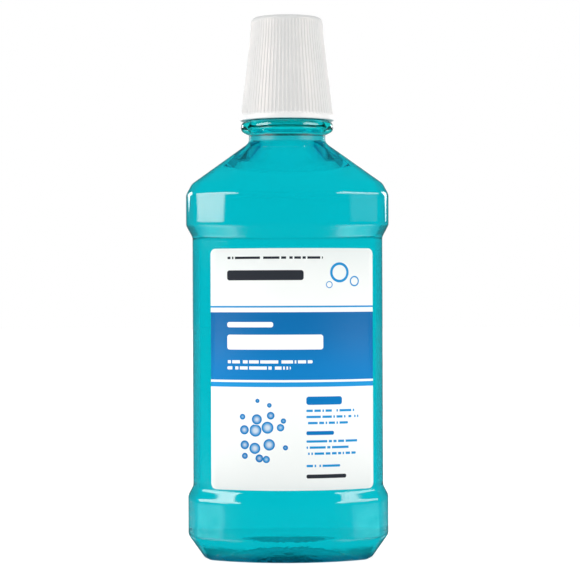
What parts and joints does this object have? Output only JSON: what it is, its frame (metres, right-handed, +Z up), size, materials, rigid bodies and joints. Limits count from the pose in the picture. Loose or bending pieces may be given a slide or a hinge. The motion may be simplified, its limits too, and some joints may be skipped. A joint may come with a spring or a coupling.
{
  "type": "mouthwash bottle",
  "caption": "Full clear bottle of mouthwash with a recessed label panel, front and back labels, and a ribbed screw cap that holds a dosing cup and a seal.",
  "frame": {"origin": "centre of the base, on the surface that the bottle stands on", "axes": "+Z up along the neck and cap, the front label faces -Y, +X to the right seen from the front"},
  "size_m": [0.096, 0.08, 0.2546],
  "materials": {
    "clear_plastic": "clear, glossy blown plastic",
    "teal_liquid": "clear teal liquid",
    "front_label_film": null,
    "back_label_film": null,
    "seal_foam": "matte foam",
    "cup_plastic": "translucent natural plastic",
    "cap_plastic": "satin white moulded plastic"
  },
  "bodies": {
    "bottle_body": {"bottle": "clear_plastic", "mouthwash": "teal_liquid", "front_label": "front_label_film", "back_label": "back_label_film"},
    "seal_body": {"seal_ring": "seal_foam"},
    "cup_body": {"dosing_cup": "cup_plastic"},
    "cap_body": {"cap_shell": "cap_plastic"}
  },
  "joints": [
    {"name": "cap_lift", "type": "slide", "parent": "bottle_body", "child": "seal_body", "axis": [0, 0, 1], "range_m": [0, 0.06]},
    {"name": "cap_rise", "type": "slide", "parent": "seal_body", "child": "cup_body", "axis": [0, 0, 1], "range_m": [0, 0.0053]},
    {"name": "cap_turn", "type": "hinge", "parent": "cup_body", "child": "cap_body", "pos_m": [0, 0, 0.2054], "axis": [0, 0, 1], "range_deg": [0, 450]}
  ],
  "couplings": [
    {"joint": "cap_rise", "follows": "cap_turn", "m_per_rad": 0.00067322}
  ]
}
